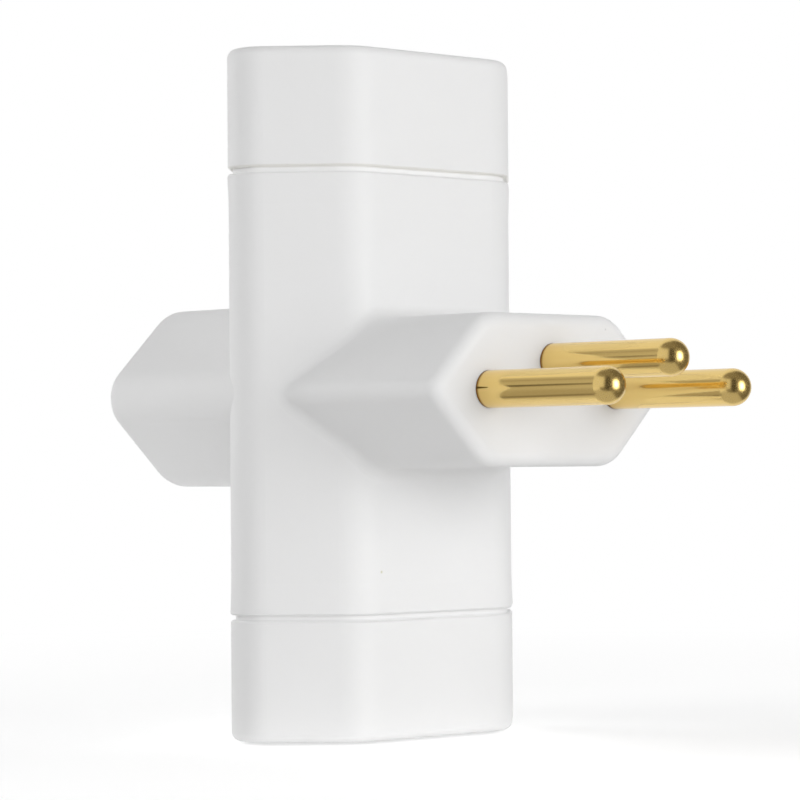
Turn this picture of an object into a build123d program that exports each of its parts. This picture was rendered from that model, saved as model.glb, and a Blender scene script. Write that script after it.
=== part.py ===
from build123d import *
from math import atan, degrees, sqrt
import os

# Three-way plug adapter: a plug with three round pins in front, and a socket above, below and behind.
# Millimetres, +Z up. The origin is the middle of the plug's face, and the pins point along -Y.

# Pins
pin_diameter = 4.0
pin_length = 19.0  # from the plug's face to the tip
pin_spacing = 19.0  # between the line and the neutral pin
earth_offset = 3.0  # from the line of the outer pins to the earth pin
pin_fit = 0.03  # between a pin and its bore
pin_shoulder = 0.25  # a pin's step down to its slimmer root, a cone that seats in the plug's face
tail_diameter = 2.0  # thin end that is riveted over
tail_fit = 0.05
rivet_diameter = 2.8
rivet_height = 0.5

# Plug nose: a hexagon with right-angled tips, measured before its corners are rounded
pin_margin = 8.5  # from the axis of an outer pin to the tip beside it
plug_height = 16.4
plug_tip_round = 1.8
plug_corner_round = 4.6
plug_edge_round = 1.5
plug_reach = 18.4  # from the plug's face to the front of the body
plug_root_round = 1.5
plug_front_wall = 3.0
plug_side_wall = 1.8
boss_wall = 1.6

# Body, caps and rear shell
body_height = 76.0
flat_wall = 1.7  # wall of a socket on its two flat sides
slant_wall = 2.15  # wall of a socket on its four slanted sides
body_wall = 1.7
body_tip_round = 4.2
body_corner_round = 5.9
rear_reach = 13.3  # from the back of the body to the mouth of the rear socket
rear_inset = 0.1  # the rear shell is this much slimmer all round than the body
end_round = 1.0
mouth_round = 0.5
rim_flat = 0.2  # least flat between the two rounds of a rim
least_round = 0.2

# Joint between a cap and the body
cap_height = 13.2
cap_proud = 0.06
groove_height = 0.6
groove_depth = 0.55
groove_bevel = 0.2
lip_height = 3.5  # the body widens a little towards its two ends
lip_flare = 0.12
spigot_length = 4.5
spigot_wall = 1.3
spigot_fit = 0.1
hook_width = 6.0
hook_height = 1.4
hook_reach = 0.7
hook_fit = 0.15
hook_drop = 2.2  # from the end of the body to the top of a hook

# Sockets
plug_fit = 0.4  # room round a plug in a socket
socket_depth = 9.5
face_thickness = 2.4
hole_fit = 0.25
hole_lead = 0.5
plate_fit = 0.1
ledge_width = 1.6
bead_height = 0.25
bead_depth = 0.8
bead_length = 10.0

# Contacts
strip_width = 4.0
strip_thickness = 0.6
strip_bend = 1.2
strip_clear = 0.3  # from an outer strip to the slanted wall beside it
joggle_run = 4.5
joggle_clear = 2.0  # from a joggle to the clip beyond it
clip_fit = 0.05
clip_thickness = 0.5
clip_length = 10.5
clip_slit = 2.2
clip_back_width = 3.6
clip_gap = 0.6  # from a clip to the underside of its socket's floor
clip_bend = 0.5
foot_drop = 2.3  # from the rivet's axis to the end of a rear clip's foot

# Ribs that keep the three strips apart
rib_thickness = 1.0
rib_height = 4.4
rib_clear = 1.2


class Outline:
    """Rounded hexagon with right-angled tips to the left and right."""

    def __init__(self, width, depth, tip_round, corner_round):
        self.width = width
        self.depth = depth
        self.tip_round = max(tip_round, least_round)
        self.corner_round = max(corner_round, least_round)

    def grow(self, amount):
        """The same outline moved outwards by an even amount."""
        return Outline(
            self.width + 2 * sqrt(2) * amount,
            self.depth + 2 * amount,
            self.tip_round + amount,
            self.corner_round + amount,
        )

    def sketch(self):
        tip = self.width / 2
        side = self.depth / 2
        flat = tip - side
        corners = [(flat, side), (-flat, side), (-tip, 0), (-flat, -side), (flat, -side), (tip, 0)]
        face = Polygon(*corners, align=None)
        tips = [v for v in face.vertices() if abs(v.Y) < side / 2]
        face = fillet(tips, self.tip_round)
        shoulders = [v for v in face.vertices() if abs(v.Y) > side * 0.999]
        return fillet(shoulders, self.corner_round)


# Outlines of the mouldings, from the plug outwards
plug = Outline(pin_spacing + 2 * pin_margin, plug_height, plug_tip_round, plug_corner_round)
core = plug.grow(-plug_side_wall)
recess = plug.grow(plug_fit)
shell = Outline(
    recess.width + 2 * sqrt(2) * slant_wall,
    recess.depth + 2 * flat_wall,
    body_tip_round,
    body_corner_round,
)
cavity = shell.grow(-body_wall)
rear_shell = shell.grow(-rear_inset)
cap = shell.grow(cap_proud)
spigot = cavity.grow(-spigot_fit)
spigot_bore = spigot.grow(-spigot_wall)

# Radii that follow from the pin
pin_radius = pin_diameter / 2
root_radius = pin_radius - pin_shoulder
tail_radius = tail_diameter / 2
rivet_radius = rivet_diameter / 2
boss_radius = pin_radius + boss_wall
hole_radius = pin_radius + hole_fit
clip_radius = pin_radius + clip_fit
clip_back = clip_radius + clip_thickness

# Places along Y. The bosses carry the outer strips just clear of the slanted walls beside them.
body_y = plug_reach + shell.depth / 2
front_wall_y = body_y - cavity.depth / 2
strip_edge_x = (pin_spacing + strip_width) / 2
boss_end_y = body_y - (cavity.width / 2 - strip_edge_x) + strip_clear
foot_y = boss_end_y + strip_thickness
rivet_y = foot_y + clip_thickness
rear_y = body_y + shell.depth / 2 + rear_reach
rear_floor_y = rear_y - socket_depth
ledge_y = rear_floor_y - face_thickness

# Places along Z
top_z = body_height / 2
cap_z = top_z - cap_height
housing_z = cap_z - groove_height
waist_z = housing_z - lip_height
spigot_z = housing_z - spigot_length
hook_z = housing_z - hook_drop
floor_z = top_z - socket_depth
under_floor_z = floor_z - face_thickness

# Poles: how far each pin and its socket holes lie across the plug, and from its middle line towards earth
POLES = {
    "line": (pin_spacing / 2, 0.0),
    "neutral": (-pin_spacing / 2, 0.0),
    "earth": (0.0, earth_offset),
}

# Socket planes lie on the floor of each recess, with Y towards the earth hole and Z out of the mouth
TOP = Plane((0, body_y, floor_z), x_dir=(-1, 0, 0), z_dir=(0, 0, 1))
BOTTOM = Plane((0, body_y, -floor_z), x_dir=(1, 0, 0), z_dir=(0, 0, -1))
REAR = Plane((0, rear_floor_y, 0), x_dir=(-1, 0, 0), z_dir=(0, 1, 0))


def along_y(sketch, start, end):
    """Prism of an upright outline, from one place on Y to another."""
    return extrude(Plane.XZ.offset(-start) * sketch, amount=start - end)


def along_z(sketch, start, end):
    """Prism of a level outline about the body's axis, from one height to another."""
    return extrude(Pos(0, body_y, start) * sketch, amount=end - start)


def end_face(shape, axis, place):
    """Largest flat face that a shape has across an axis at one place."""
    return shape.faces().filter_by_position(axis, place - 0.001, place + 0.001).sort_by(SortBy.AREA)[-1]


def round_outside(shape, axis, place, radius):
    return fillet(end_face(shape, axis, place).outer_wire().edges(), radius)


def bevel_outside(shape, axis, place, size):
    return chamfer(end_face(shape, axis, place).outer_wire().edges(), size)


def round_mouth(shape, axis, place):
    wires = end_face(shape, axis, place).inner_wires()
    return fillet(wires.sort_by(SortBy.LENGTH)[-1].edges(), mouth_round)


def rim_round(wall):
    """Outer round of a socket's rim, kept within its wall."""
    return min(end_round, wall - mouth_round - rim_flat)


def socket_holes():
    """Three pin holes with a lead-in through a socket's floor, in the frame of its plane."""
    holes = []
    for x, y in POLES.values():
        holes.append(Pos(x, y, -face_thickness / 2) * Cylinder(hole_radius, 2 * face_thickness))
        holes.append(Pos(x, y, -hole_lead / 2) * Cone(hole_radius, hole_radius + hole_lead, hole_lead))
    return holes


def make_housing():
    """Middle of the body with the plug's nose and the rear socket's shell, moulded in one piece."""
    body = along_z(shell.sketch(), -waist_z, waist_z)
    flare_angle = degrees(atan(lip_flare / lip_height))
    lip = extrude(Pos(0, body_y, waist_z) * shell.sketch(), amount=lip_height, taper=-flare_angle)
    body += [lip, mirror(lip, about=Plane.XY)]
    for end in (-housing_z, housing_z):
        body = bevel_outside(body, Axis.Z, end, groove_bevel)
    nose = along_y(plug.sketch(), 0, body_y)
    nose = round_outside(nose, Axis.Y, 0, plug_edge_round)
    joined = body + nose
    housing = fillet(new_edges(body, nose, combined=joined), plug_root_round)
    back = along_y(rear_shell.sketch(), body_y, rear_y)
    housing += round_outside(back, Axis.Y, rear_y, rim_round(flat_wall - rear_inset))

    housing -= along_z(cavity.sketch(), -housing_z, housing_z)
    housing -= along_y(core.sketch(), plug_front_wall, body_y)
    housing -= along_y(recess.sketch(), ledge_y, rear_y)
    housing -= along_y(recess.grow(-ledge_width).sketch(), body_y, ledge_y)
    housing = round_mouth(housing, Axis.Y, rear_y)

    housing += pin_bosses()
    housing -= [pin_bore(x, z) for x, z in POLES.values()]
    housing += strip_ribs()
    housing -= hook_slots()
    housing += plate_beads()
    return housing


def pin_bosses():
    """Tubes round the pins' roots, from the nose's front wall to the strips that they carry."""
    ring = Circle(boss_radius)
    return [along_y(Pos(x, z) * ring, plug_front_wall / 2, boss_end_y) for x, z in POLES.values()]


def pin_bore(x, z):
    """Bore for a pin's root, with the countersink in the plug's face that takes the pin's shoulder."""
    bore = along_y(Circle(root_radius + pin_fit), 0, boss_end_y)
    cone = Cone(pin_radius + pin_fit, root_radius + pin_fit, pin_shoulder)
    return Pos(x, 0, z) * (bore + Pos(0, pin_shoulder / 2, 0) * Rot(X=-90) * cone)


def strip_ribs():
    """Upright ribs on the front wall, between the strips above and below the plug's core."""
    start = core.depth / 2 + rib_clear
    end = spigot_z - rib_clear
    rib = Box(rib_thickness, rib_height, end - start, align=(Align.CENTER, Align.MIN, Align.MIN))
    places = [(side * pin_spacing / 4, z) for side in (-1, 1) for z in (start, -end)]
    return [Pos(x, front_wall_y, z) * rib for x, z in places]


def hook_slots():
    """Blind slots inside the front and back walls, where the caps' hooks catch."""
    slot = Box(hook_width + 2 * hook_fit, cavity.depth + 2 * hook_reach, hook_height + 2 * hook_fit)
    middle = hook_z - hook_height / 2
    return [Pos(0, body_y, side * middle) * slot for side in (-1, 1)]


def plate_beads():
    """Snap beads above and below the rear socket's floor, which hold its plate against the ledge."""
    wall = recess.depth / 2
    outline = [(rear_floor_y, wall), (rear_floor_y, wall - bead_height), (rear_floor_y + bead_depth, wall)]
    bead = extrude(Plane.YZ * make_face(Polyline(*outline, close=True)), amount=bead_length / 2, both=True)
    return [bead, mirror(bead, about=Plane.XY)]


def spigot_hooks():
    """Ramped catches on the front and the back of a cap's spigot."""
    wall = spigot.depth / 2
    outline = [(wall, hook_z), (wall + hook_reach, hook_z), (wall, hook_z - hook_height)]
    hook = extrude(Plane.YZ * make_face(Polyline(*outline, close=True)), amount=hook_width / 2, both=True)
    return [Pos(0, body_y, 0) * hook, Pos(0, body_y, 0) * mirror(hook, about=Plane.XZ)]


def make_top_cap():
    """End cap with the upper socket: recess, floor with pin holes, shadow groove and snap-in spigot."""
    sleeve = along_z(cap.sketch(), cap_z, top_z)
    sleeve = round_outside(sleeve, Axis.Z, top_z, rim_round(flat_wall + cap_proud))
    sleeve = bevel_outside(sleeve, Axis.Z, cap_z, groove_bevel)
    sleeve += along_z(cap.grow(-groove_depth).sketch(), housing_z, cap_z)
    sleeve += along_z(spigot.sketch(), spigot_z, housing_z)
    sleeve += spigot_hooks()
    sleeve -= along_z(recess.sketch(), floor_z, top_z)
    sleeve = round_mouth(sleeve, Axis.Z, top_z)
    sleeve -= along_z(spigot_bore.sketch(), spigot_z, under_floor_z)
    return sleeve - [TOP * hole for hole in socket_holes()]


def make_rear_plate():
    """Floor of the rear socket, pushed in from behind against its ledge."""
    plate = along_y(recess.grow(-plate_fit).sketch(), ledge_y, rear_floor_y)
    return plate - [REAR * hole for hole in socket_holes()]


def make_pin(x, z):
    """Turned pin: round tip, plain shank, cone shoulder, slim root and a tail riveted over the contacts."""
    shank_y = pin_radius - pin_length
    crown_y = rivet_y + rivet_height
    tip = CenterArc((0, shank_y), pin_radius, -90, 90)
    turned = Polyline(
        (pin_radius, shank_y),
        (pin_radius, 0),
        (root_radius, pin_shoulder),
        (root_radius, boss_end_y),
        (tail_radius, boss_end_y),
        (tail_radius, rivet_y),
        (rivet_radius, rivet_y),
        (tail_radius, crown_y),
        (0, crown_y),
        (0, -pin_length),
    )
    return Pos(x, 0, z) * revolve(make_face([tip, turned]), axis=Axis.Y)


def bent_strip(x, points, width, thickness, bend):
    """Flat strip that follows a line of (y, z) points at one place across the plug."""
    path = FilletPolyline(*[(x, y, z) for y, z in points], radius=bend)
    section = Plane(path.position_at(0), x_dir=(1, 0, 0), z_dir=path.tangent_at(0))
    return sweep(section * Rectangle(width, thickness), path=path)


def tail_hole(x, z):
    """Hole for a pin's tail, through the strip and the foot that it holds together."""
    hole = Pos(x, z) * Circle(tail_radius + tail_fit)
    return along_y(hole, boss_end_y - tail_fit, rivet_y + tail_fit)


def make_bus(x, earth):
    """Strip that joins a pin to the clips above and below, set back at its ends to reach them."""
    near = boss_end_y + strip_thickness / 2
    far = body_y - earth - clip_back - strip_thickness / 2
    end = under_floor_z - clip_gap
    high = end - clip_length - joggle_clear
    low = high - joggle_run
    upper = [(far, end), (far, high), (near, low)]
    lower = [(y, -z) for y, z in reversed(upper)]
    return bent_strip(x, upper + lower, strip_width, strip_thickness, strip_bend) - tail_hole(x, earth)


def clip_sleeve():
    """Slit spring sleeve below a socket's floor, with a flat back on the earth side."""
    outside = Circle(clip_back)
    outside += Pos(0, clip_back - clip_thickness / 2) * Rectangle(clip_back_width, clip_thickness)
    slit = Pos(0, -clip_back) * Rectangle(clip_slit, 2 * clip_back)
    section = outside - Circle(clip_radius) - slit
    return extrude(Pos(0, 0, -face_thickness - clip_gap) * section, amount=-clip_length)


def make_rear_clip(x, earth):
    """Clip of one pole of the rear socket, on a bent foot that the pin's tail rivets down."""
    foot = foot_y + clip_thickness / 2
    back = earth + clip_back - clip_thickness / 2
    points = [(foot, earth - foot_drop), (foot, back), (ledge_y - clip_gap, back)]
    arm = bent_strip(x, points, clip_back_width, clip_thickness, clip_bend)
    return arm + REAR * Pos(-x, earth) * clip_sleeve() - tail_hole(x, earth)


def save(name, shape):
    shape.label = name
    export_step(shape, f"parts/{name}.step")


os.makedirs("parts", exist_ok=True)
save("housing", make_housing())
top_cap = make_top_cap()
save("top_cap", top_cap)
save("bottom_cap", Rot(Y=180) * top_cap)
save("rear_socket_plate", make_rear_plate())
for pole, (x, earth) in POLES.items():
    save(f"{pole}_pin", make_pin(x, earth))
    save(f"{pole}_bus", make_bus(x, earth))
    save(f"top_{pole}_clip", TOP * Pos(-x, earth) * clip_sleeve())
    save(f"bottom_{pole}_clip", BOTTOM * Pos(x, earth) * clip_sleeve())
    save(f"rear_{pole}_clip", make_rear_clip(x, earth))
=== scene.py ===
# %% [markdown]
# Three-way plug adapter: a white moulded body with a plug's nose in front and a socket above, below and behind.
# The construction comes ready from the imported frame, at its real size, and this lesson gives it its looks.
# Everything is in metres. The pins point along -Y, and +Z is up.

# %% Load the frame
import bpy
from math import radians
from mathutils import Euler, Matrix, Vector


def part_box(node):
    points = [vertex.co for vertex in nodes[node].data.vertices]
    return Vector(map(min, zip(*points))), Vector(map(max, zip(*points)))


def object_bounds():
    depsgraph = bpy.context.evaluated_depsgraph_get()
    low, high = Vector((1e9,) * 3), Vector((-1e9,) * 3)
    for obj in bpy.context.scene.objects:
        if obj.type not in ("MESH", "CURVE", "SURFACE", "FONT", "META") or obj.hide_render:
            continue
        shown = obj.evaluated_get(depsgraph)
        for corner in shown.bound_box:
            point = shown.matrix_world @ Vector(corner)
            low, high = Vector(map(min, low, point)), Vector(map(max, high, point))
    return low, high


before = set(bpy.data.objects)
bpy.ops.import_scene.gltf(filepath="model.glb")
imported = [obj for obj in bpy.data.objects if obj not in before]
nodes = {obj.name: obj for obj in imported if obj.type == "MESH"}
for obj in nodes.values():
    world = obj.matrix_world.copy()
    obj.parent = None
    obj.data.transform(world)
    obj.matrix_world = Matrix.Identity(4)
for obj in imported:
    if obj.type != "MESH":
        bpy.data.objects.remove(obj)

cad_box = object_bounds()
scene = bpy.context.scene
bpy.ops.object.select_all(action="DESELECT")
print("CAD nodes:", len(nodes), "box:", [tuple(corner) for corner in cad_box])

# %% [markdown]
# The camera stands to the front left, a touch below the middle of the body, and looks along a long lens.
# A camera can be placed by eye or worked out from a few directions. Here it circles the body's own axis,
# so that the angle, the distance and the small offset of the aim stay separate values.

# %% Camera
MM = 0.001
VIEW_AZIMUTH = radians(-42.47)
VIEW_ELEVATION = radians(-1.14)
VIEW_ROLL = radians(-0.46)
VIEW_DISTANCE = 375.0 * MM
AIM_RIGHT = 2.96 * MM
AIM_UP = -0.50 * MM
SENSOR_WIDTH = 36.0
LENS = 149.0
CLIP_START = 10 * MM

body_low, body_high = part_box("top_cap")
body_middle = Vector(((body_low.x + body_high.x) / 2, (body_low.y + body_high.y) / 2, 0))

camera_data = bpy.data.cameras.new("view")
camera_data.sensor_width = SENSOR_WIDTH
camera_data.lens = LENS
camera_data.clip_start = CLIP_START
camera = bpy.data.objects.new("view", camera_data)
scene.collection.objects.link(camera)
turn = Euler((radians(90) - VIEW_ELEVATION, 0, VIEW_AZIMUTH)).to_matrix()
turn = turn @ Euler((0, 0, VIEW_ROLL)).to_matrix()
camera.rotation_euler = turn.to_euler()
camera.location = body_middle + turn @ Vector((AIM_RIGHT, AIM_UP, VIEW_DISTANCE))
scene.camera = camera
print("camera at", tuple(round(v, 4) for v in camera.location))

# %% [markdown]
# Round the object there is nothing but white. A studio hangs a sweep of white paper there. The world's own colour
# does the same with less: rays from the camera, and any mirror ray that gets that far, see plain white. All other
# rays see a much dimmer white, which only softens the shadows and leaves the lighting to the lamps.

# %% White surround
WORLD_FILL = 0.05
WHITE = (1, 1, 1, 1)


def add_node(tree, kind, inputs=None, **settings):
    """Adds a node, sets its own settings, and feeds each named input with a value or another socket."""
    node = tree.nodes.new(kind)
    for key, value in settings.items():
        setattr(node, key, value)
    for key, value in (inputs or {}).items():
        if isinstance(value, bpy.types.NodeSocket):
            tree.links.new(value, node.inputs[key])
        else:
            node.inputs[key].default_value = value
    return node


def reckon(tree, operation, *values):
    """Result of one sum on numbers or other sockets."""
    return add_node(tree, "ShaderNodeMath", dict(enumerate(values)), operation=operation).outputs[0]


def blend(tree, share, low, high):
    """Goes from one level to another as a share goes from 0 to 1."""
    return add_node(tree, "ShaderNodeMapRange", {"Value": share, "To Min": low, "To Max": high}).outputs[0]


world = bpy.data.worlds.new("surround")
scene.world = world
world.use_nodes = True
tree = world.node_tree
tree.nodes.clear()
rays = add_node(tree, "ShaderNodeLightPath").outputs
seen = reckon(tree, "MAXIMUM", rays["Is Camera Ray"], rays["Is Glossy Ray"])
seen = reckon(tree, "MAXIMUM", seen, rays["Is Transmission Ray"])
air = add_node(tree, "ShaderNodeBackground", {"Color": WHITE, "Strength": blend(tree, seen, WORLD_FILL, 1.0)})
add_node(tree, "ShaderNodeOutputWorld", {"Surface": air.outputs[0]})
print("surround fills at", WORLD_FILL)

# %% [markdown]
# The floor is white paper that the lamps light, so the object's shadow lies on it. The camera sees the paper
# lighter than it is, and further out sees plain white, as when a photographer lights the paper by itself.
# It lies a hair below the lower cap, so that some light gets under the rim, and seen from below it is clear.

# %% White floor
FLOOR_SIZE = 6.0
FLOOR_GAP = 0.3 * MM
FLOOR_COLOUR = (0.9, 0.9, 0.9, 1)
FLOOR_GLOW = 0.39
FADE_START = 0.06
FADE_END = 0.24


def new_material(name):
    """A node material with its tree cleared down to the output."""
    material = bpy.data.materials.new(name)
    material.use_nodes = True
    tree = material.node_tree
    tree.nodes.clear()
    output = tree.nodes.new("ShaderNodeOutputMaterial")
    return material, tree, output


def ramp(tree, value, start, end):
    """Share of the way from a start to an end, from 0 to 1."""
    return add_node(tree, "ShaderNodeMapRange", {"Value": value, "From Min": start, "From Max": end}).outputs[0]


floor_place = (body_middle.x, body_middle.y, cad_box[0].z - FLOOR_GAP)
bpy.ops.mesh.primitive_plane_add(size=FLOOR_SIZE, location=floor_place)
floor = bpy.context.object
floor.name = "floor"
floor.visible_glossy = False
paper, tree, output = new_material("white_paper")
place = add_node(tree, "ShaderNodeTexCoord").outputs["Object"]
distance = add_node(tree, "ShaderNodeVectorMath", {0: place}, operation="LENGTH").outputs["Value"]
by_camera = add_node(tree, "ShaderNodeLightPath").outputs["Is Camera Ray"]
far = reckon(tree, "MULTIPLY", ramp(tree, distance, FADE_START, FADE_END), by_camera)
lift = reckon(tree, "MULTIPLY", by_camera, FLOOR_GLOW)
lit = add_node(tree, "ShaderNodeBsdfDiffuse", {"Color": FLOOR_COLOUR})
glow = add_node(tree, "ShaderNodeEmission", {"Color": WHITE, "Strength": lift})
lifted = add_node(tree, "ShaderNodeAddShader", {0: lit.outputs[0], 1: glow.outputs[0]})
plain = add_node(tree, "ShaderNodeEmission", {"Color": WHITE, "Strength": 1.0})
faded = add_node(tree, "ShaderNodeMixShader", {0: far, 1: lifted.outputs[0], 2: plain.outputs[0]})
clear = add_node(tree, "ShaderNodeBsdfTransparent")
back = add_node(tree, "ShaderNodeNewGeometry").outputs["Backfacing"]
sheet = add_node(tree, "ShaderNodeMixShader", {0: back, 1: faded.outputs[0], 2: clear.outputs[0]})
tree.links.new(sheet.outputs[0], output.inputs["Surface"])
floor.data.materials.append(paper)
print("floor at", round(floor.location.z, 4))

# %% [markdown]
# The light is soft and white. A bare lamp would give hard edges, so each lamp is a panel, as a softbox is, and most
# are wide and stand well away. Four small ones are close by: one lights the plug's face between the pins, one the
# underside of the rear shell, and two under the lower cap light its rim and socket, which the floor would darken.

# %% Softboxes
# Place and aim from the body's middle, width and height, and power
SOFTBOXES = {
    "front": ((0.10, -0.70, 0.10), (0, 0, 0), (0.60, 0.60), 2.62),
    "front_low": ((0.10, -0.60, 0.0), (0, 0, 0), (0.25, 0.25), 0.29),
    "nose": ((0.0, -0.10, 0.0), (0, 0, 0), (0.05, 0.05), 0.0054),
    "near": ((-0.50, -0.55, 0.10), (0, 0, 0), (0.50, 0.50), 1.85),
    "right": ((0.70, -0.05, 0.10), (0, 0, 0), (0.60, 0.60), 0.57),
    "right_high": ((0.50, -0.15, 0.55), (0, 0, 0), (0.50, 0.50), 1.0),
    "right_rear": ((0.55, 0.50, 0.06), (0, 0, 0), (0.50, 0.20), 1.7),
    "rear": ((-0.20, 0.70, 0.20), (0, 0, 0), (0.40, 0.40), 2.2),
    "left_high": ((-0.50, 0.15, 0.55), (0, 0, 0), (0.50, 0.50), 1.6),
    "table_rear": ((-0.05, 0.06, -0.0375), (-0.05, 0.06, 0), (0.08, 0.08), 0.0085),
    "foot": ((0.0, 0.0, -0.0382), (0, 0, 0), (0.046, 0.028), 0.0010),
    "mouth": ((0.0, 0.0, -0.0375), (0, 0, 0), (0.016, 0.010), 0.0004),
}


def add_softbox(name, place, aim, size, power):
    """Panel of light at a place by the body's middle, turned towards another place."""
    data = bpy.data.lights.new(name, "AREA")
    data.shape = "RECTANGLE"
    data.size, data.size_y = size
    data.energy = power
    lamp = bpy.data.objects.new(name, data)
    scene.collection.objects.link(lamp)
    lamp.location = body_middle + Vector(place)
    lamp.rotation_euler = (Vector(aim) - Vector(place)).to_track_quat("-Z", "Y").to_euler()
    lamp.visible_camera = False
    lamp.visible_glossy = False


for name, softbox in SOFTBOXES.items():
    add_softbox(name, *softbox)
print("softboxes:", ", ".join(SOFTBOXES))

# %% [markdown]
# Polished metal shows the room around it, so the pins need a room. A photographer sets white panels and dark flags
# round the object. Here a dome that only mirror rays can see stands for that room, because a few plain shapes of
# light are enough for round pins. The dome's light follows from a ray's direction, measured from the camera:
# how far to its right, and how far up.

# %% Dome for the reflections
DOME_RADIUS = 1.5
DOME_SEGMENTS = 64
DOME_RINGS = 32

bpy.ops.mesh.primitive_uv_sphere_add(segments=DOME_SEGMENTS, ring_count=DOME_RINGS, radius=DOME_RADIUS)
dome = bpy.context.object
dome.name = "room"
dome.location = body_middle
dome.visible_camera = False
dome.visible_diffuse = False
dome.visible_transmission = False
dome.visible_shadow = False

room, room_tree, room_output = new_material("room_light")
dome.data.materials.append(room)
place = add_node(room_tree, "ShaderNodeTexCoord").outputs["Object"]
turned = add_node(room_tree, "ShaderNodeMapping",
                  {"Vector": place, "Rotation": (0, 0, radians(90) - VIEW_AZIMUTH)}, vector_type="POINT")
ray = add_node(room_tree, "ShaderNodeVectorMath", {0: turned.outputs[0]}, operation="NORMALIZE").outputs[0]
ray_parts = add_node(room_tree, "ShaderNodeSeparateXYZ", {0: ray}).outputs
across = reckon(room_tree, "ARCTAN2", ray_parts["Y"], ray_parts["X"])
up = reckon(room_tree, "ARCSINE", ray_parts["Z"])
print("dome of", DOME_RADIUS, "m round the body")

# %% [markdown]
# The room is pale, with a dark side to the right and a dark ceiling, which give the round tips their dark parts.
# Each is a round patch: the angle between the ray and the patch's middle says whether the ray hits it.

# %% Pale room with dark patches
ROOM_LEVEL = 0.87
# Level, middle, reach from the middle and width of the soft edge, in degrees
PATCHES = {
    "dark_side": (0.17, (45, 8), 90, 6),
    "ceiling": (0.24, (-20, 58), 43, 8),
}


def in_radians(angles):
    return tuple(radians(angle) for angle in angles)


def direction(across, up):
    """Unit vector of a direction in the dome's own frame, where +X is towards the camera."""
    return Euler((0, -up, across)).to_matrix() @ Vector((1, 0, 0))


def soft_step(tree, value, reach, soft):
    """1 while a value stays under reach, then falls smoothly to 0."""
    inside = add_node(tree, "ShaderNodeMapRange",
                      {"Value": value, "From Min": reach + soft, "From Max": reach - soft},
                      interpolation_type="SMOOTHSTEP")
    return inside.outputs[0]


light = ROOM_LEVEL
for level, middle, reach, soft in PATCHES.values():
    towards = add_node(room_tree, "ShaderNodeVectorMath", {0: ray, 1: direction(*in_radians(middle))},
                       operation="DOT_PRODUCT")
    angle = reckon(room_tree, "ARCCOSINE", towards.outputs["Value"])
    mask = soft_step(room_tree, angle, *in_radians((reach, soft)))
    light = blend(room_tree, mask, light, level)
print("room patches:", ", ".join(PATCHES))

# %% [markdown]
# A grey table stands below the pins. In angles its straight edges would bend, so it is measured where the ray
# meets a level plane: steps towards the camera and across, each as long as the plane is deep.

# %% Table below the pins
TABLE_LEVEL = 0.53
TABLE_MIDDLE = (0.5, -0.7)
TABLE_HALF = (1.05, 1.5)
TABLE_SOFT = 0.1
LEAST_DEPTH = 0.001


def gap_from(tree, value, middle):
    """How far a value lies from a middle, either way."""
    return reckon(tree, "ABSOLUTE", reckon(tree, "SUBTRACT", value, middle))


def near_value(tree, value, middle, reach, soft):
    """1 where a value lies within reach of a middle."""
    return soft_step(tree, gap_from(tree, value, middle), reach, soft)


def in_rectangle(tree, values, middle, half, soft):
    """1 where two values both lie within a soft-edged rectangle."""
    masks = [near_value(tree, *each, soft) for each in zip(values, middle, half)]
    return reckon(tree, "MULTIPLY", *masks)


depth = reckon(room_tree, "MULTIPLY", ray_parts["Z"], -1.0)
depth = reckon(room_tree, "MAXIMUM", depth, LEAST_DEPTH)
steps = [reckon(room_tree, "DIVIDE", ray_parts[axis], depth) for axis in ("X", "Y")]
mask = in_rectangle(room_tree, steps, TABLE_MIDDLE, TABLE_HALF, TABLE_SOFT)
light = blend(room_tree, mask, light, TABLE_LEVEL)
print("table at level", TABLE_LEVEL)

# %% [markdown]
# Upright panels go on top: the dark camera, a grey wall to the far left with its seam and edges, which gives the
# shanks their dark bands, a soft panel to the left, and a bright one to the right for the highlight on the tips.

# %% Upright panels
# Level, middle, half sizes and width of the soft edge, in degrees
PANELS = {
    "camera": (0.07, (6, 10), (17, 40), 8),
    "grey_wall": (0.42, (-118, -3), (32, 33), 3),
    "wall_upper": (0.50, (-118, 23.5), (32, 14.5), 3),
    "wall_top": (0.38, (-118, 29), (32, 2), 2),
    "wall_foot": (0.24, (-118, -36), (32, 3), 2),
    "wall_seam": (0.02, (-118, 8), (32, 3.7), 1.5),
    "left_panel": (0.76, (-52, 18), (37, 30), 6),
    "right_panel": (6.0, (55, 5), (13, 18), 12),
}

for level, middle, half, soft in PANELS.values():
    mask = in_rectangle(room_tree, (across, up), in_radians(middle), in_radians(half), radians(soft))
    light = blend(room_tree, mask, light, level)
print("room panels:", ", ".join(PANELS))

# %% [markdown]
# The dim parts of a room are warmer than its white panels, and brass shows that as a deeper brown.
# So the colour goes from warm to white as the light rises.

# %% Colour of the room's light
ROOM_WARM = (1.0, 0.90, 0.74, 1)
WARM_BELOW = 0.6


def mix_colour(tree, share, below, above):
    """Lays one colour over another by a share from 0 to 1."""
    mixed = add_node(tree, "ShaderNodeMix", {"Factor": share, "A": below, "B": above}, data_type="RGBA")
    return mixed.outputs["Result"]


tint = mix_colour(room_tree, ramp(room_tree, light, 0.0, WARM_BELOW), ROOM_WARM, WHITE)
glow = add_node(room_tree, "ShaderNodeEmission", {"Color": tint, "Strength": light})
room_tree.links.new(glow.outputs[0], room_output.inputs["Surface"])
print("room light is warm below level", WARM_BELOW)
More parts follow.
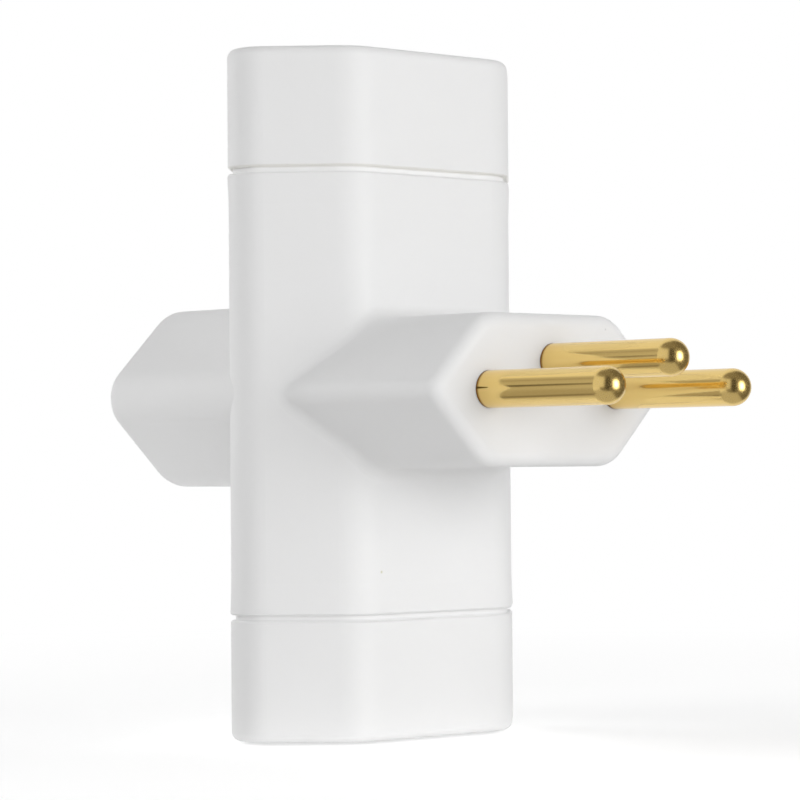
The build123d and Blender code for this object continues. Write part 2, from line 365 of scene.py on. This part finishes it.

# %% [markdown]
# The mouldings are white plastic with a satin gloss. A flat white would look like paper, so the colour and the
# roughness follow a wide noise, and a fine grain follows another, at the scale of a polished moulding tool.
# The marks of use are part of the finish. The grooves get a whiter band of painted light, where their floor catches
# light, and the upper one a faint yellow line.
# A pit on the plug's face and a speck on the front are round spots at their own places.

# %% White plastic
PLASTIC_LIGHT = (0.865, 0.865, 0.865, 1)
PLASTIC_DARK = (0.845, 0.845, 0.845, 1)
PLASTIC_GLOSS = (0.44, 0.56)
PLASTIC_SPECULAR = 0.3
CLOUD = (90.0, 3.0)
GRAIN = (5000.0, 2.0)
GRAIN_STRENGTH = 0.25
GRAIN_HEIGHT = 0.004 * MM
# Bands at the grooves: middle height, half height and soft edge
# Painted light: the whiter band on both grooves stands in for light on the groove's floor
GROOVE_PAINTED_LIGHT = (0.925, 0.925, 0.925, 1)
PAINTED_LIGHT_BAND = (24.42 * MM, 0.22 * MM, 0.05 * MM)
GROOVE_YELLOW = (0.86, 0.85, 0.82, 1)
YELLOW_BAND = (24.86 * MM, 0.14 * MM, 0.05 * MM)
# Round spots: colour, place, reach and soft edge
PLASTIC_MARKS = {
    "pit": ((0.70, 0.70, 0.70, 1), Vector((8.06, 0.0, 6.64)) * MM, 0.10 * MM, 0.08 * MM),
    "speck": ((0.66, 0.65, 0.50, 1), Vector((-8.36, 18.4, -19.55)) * MM, 0.13 * MM, 0.10 * MM),
}


def noise(tree, place, scale, detail):
    return add_node(tree, "ShaderNodeTexNoise", {"Vector": place, "Scale": scale, "Detail": detail}).outputs["Fac"]


def round_spot(tree, place, middle, reach, soft):
    """1 within reach of a point."""
    gap = add_node(tree, "ShaderNodeVectorMath", {0: place, 1: middle}, operation="DISTANCE")
    return soft_step(tree, gap.outputs["Value"], reach, soft)


def white_plastic():
    material, tree, output = new_material("moulded_white")
    place = add_node(tree, "ShaderNodeTexCoord").outputs["Object"]
    cloud = noise(tree, place, *CLOUD)
    tint = mix_colour(tree, cloud, PLASTIC_DARK, PLASTIC_LIGHT)
    height = add_node(tree, "ShaderNodeSeparateXYZ", {0: place}).outputs["Z"]
    either_way = reckon(tree, "ABSOLUTE", height)
    # Painted light: both grooves are whitened where their floor catches light
    tint = mix_colour(tree, near_value(tree, either_way, *PAINTED_LIGHT_BAND), tint, GROOVE_PAINTED_LIGHT)
    tint = mix_colour(tree, near_value(tree, height, *YELLOW_BAND), tint, GROOVE_YELLOW)
    for colour, *spot in PLASTIC_MARKS.values():
        tint = mix_colour(tree, round_spot(tree, place, *spot), tint, colour)
    bump = add_node(tree, "ShaderNodeBump",
                    {"Height": noise(tree, place, *GRAIN), "Strength": GRAIN_STRENGTH, "Distance": GRAIN_HEIGHT})
    shader = add_node(tree, "ShaderNodeBsdfPrincipled",
                      {"Base Color": tint, "Roughness": blend(tree, cloud, *PLASTIC_GLOSS),
                       "Normal": bump.outputs[0], "Specular IOR Level": PLASTIC_SPECULAR})
    tree.links.new(shader.outputs[0], output.inputs["Surface"])
    return material


plastic = white_plastic()
print("plastic:", plastic.name, "with", ", ".join(PLASTIC_MARKS))

# %% [markdown]
# The near pin has a short scratch at its base. It could be modelled as a cut, but it is only a dark line, so it is
# a mask instead: a line along the pin that thins out, on the pin's outer side only.

# %% Scratch on the near pin
SCRATCH_SIDE = -11.2 * MM
SCRATCH_SIDE_SOFT = 0.1 * MM
SCRATCH_LEVEL = 0.12 * MM
SCRATCH_END = -1.95 * MM
SCRATCH_TAPER = 0.3 * MM
SCRATCH_HALF = 0.16 * MM
SCRATCH_THIN = 0.04 * MM
# Reach and soft edge of the line, as shares of its half width
SCRATCH_LINE = (0.8, 0.4)


def pin_scratch(tree, parts):
    """1 on the scratch, which is widest at the plug's face."""
    half = blend(tree, ramp(tree, parts["Y"], SCRATCH_END, 0.0), SCRATCH_THIN, SCRATCH_HALF)
    share = reckon(tree, "DIVIDE", gap_from(tree, parts["Z"], SCRATCH_LEVEL), half)
    line = soft_step(tree, share, *SCRATCH_LINE)
    outer = soft_step(tree, parts["X"], SCRATCH_SIDE, SCRATCH_SIDE_SOFT)
    base = ramp(tree, parts["Y"], SCRATCH_END, SCRATCH_END + SCRATCH_TAPER)
    return reckon(tree, "MULTIPLY", reckon(tree, "MULTIPLY", line, outer), base)


print("scratch ends", round(-SCRATCH_END / MM, 2), "mm from the plug's face")

# %% [markdown]
# The pins are turned from drawn brass rod. The shank keeps fine lines along its length and a high polish,
# and the round tip, formed by a tool, is a little rougher and mottled. At the plug's face each pin gets painted
# shade, a dark brown band. Separate materials would leave a hard edge, so one material does it all, with masks
# along the pin's length.

# %% Pin brass
BRASS_BRIGHT = (0.915, 0.672, 0.262, 1)
BRASS_DULL = (0.86, 0.614, 0.21, 1)
# Painted shade: a dark brown band at each pin's base, where it meets the plug's face
BRASS_BASE_SHADE = (0.33, 0.16, 0.04, 1)
SCRATCH_COLOUR = (0.14, 0.08, 0.015, 1)
BASE_SHADE_START = -0.42 * MM
BASE_SHADE_END = -0.15 * MM
TIP_START = -16.6 * MM
TIP_END = -17.6 * MM
DRAWN_SCALE = (1.0, 0.03, 1.0)
STREAK = (2500.0, 3.0)
MOTTLE = (6000.0, 3.0)
SHANK_GLOSS = (0.09, 0.17)
TIP_GLOSS = (0.20, 0.32)
BRASS_STRENGTH = 0.3
BRASS_HEIGHT = 0.006 * MM


def pin_brass():
    material, tree, output = new_material("polished_brass")
    place = add_node(tree, "ShaderNodeTexCoord").outputs["Object"]
    parts = add_node(tree, "ShaderNodeSeparateXYZ", {0: place}).outputs
    drawn = add_node(tree, "ShaderNodeMapping", {"Vector": place, "Scale": DRAWN_SCALE}).outputs[0]
    streak = noise(tree, drawn, *STREAK)
    mottle = noise(tree, place, *MOTTLE)
    tip = ramp(tree, parts["Y"], TIP_START, TIP_END)
    mark = blend(tree, tip, streak, mottle)
    tint = mix_colour(tree, mark, BRASS_DULL, BRASS_BRIGHT)
    # Painted shade at the pin's base, where it meets the plug's face
    tint = mix_colour(tree, ramp(tree, parts["Y"], BASE_SHADE_START, BASE_SHADE_END), tint, BRASS_BASE_SHADE)
    tint = mix_colour(tree, pin_scratch(tree, parts), tint, SCRATCH_COLOUR)
    gloss = blend(tree, tip, blend(tree, streak, *SHANK_GLOSS), blend(tree, mottle, *TIP_GLOSS))
    bump = add_node(tree, "ShaderNodeBump",
                    {"Height": mark, "Strength": BRASS_STRENGTH, "Distance": BRASS_HEIGHT})
    shader = add_node(tree, "ShaderNodeBsdfPrincipled",
                      {"Base Color": tint, "Metallic": 1.0, "Roughness": gloss, "Normal": bump.outputs[0]})
    tree.links.new(shader.outputs[0], output.inputs["Surface"])
    return material


polished = pin_brass()
print("pins:", polished.name)

# %% [markdown]
# The contacts inside are stamped from brass strip. They show only through the holes of the sockets, and are duller
# than the pins, so one blotchy noise gives both their colour and their roughness.

# %% Contact brass
CONTACT_BRIGHT = (0.72, 0.53, 0.24, 1)
CONTACT_DULL = (0.55, 0.38, 0.15, 1)
CONTACT_GLOSS = (0.28, 0.45)
BLOTCH = (400.0, 5.0)


def contact_brass():
    material, tree, output = new_material("stamped_brass")
    place = add_node(tree, "ShaderNodeTexCoord").outputs["Object"]
    blotch = noise(tree, place, *BLOTCH)
    shader = add_node(tree, "ShaderNodeBsdfPrincipled",
                      {"Base Color": mix_colour(tree, blotch, CONTACT_DULL, CONTACT_BRIGHT), "Metallic": 1.0,
                       "Roughness": blend(tree, blotch, *CONTACT_GLOSS)})
    tree.links.new(shader.outputs[0], output.inputs["Surface"])
    return material


stamped = contact_brass()
print("contacts:", stamped.name)

# %% [markdown]
# Each CAD node names the finish that it takes. The shapes are right as they are, so the three materials go straight
# into the nodes' slots, and no mesh is touched.

# %% Give each node its finish
FINISHES = {"white_plastic": plastic, "pin_brass": polished, "contact_brass": stamped}
for node in nodes.values():
    for slot in node.material_slots:
        slot.material = FINISHES[slot.material.name]
print("finished nodes:", len(nodes))

# %% [markdown]
# White plastic should come out as white as it is written. A filmic view would grey it, so the view is Standard.
# The finishes change no size.

# %% Colours as written
scene.view_settings.view_transform = "Standard"
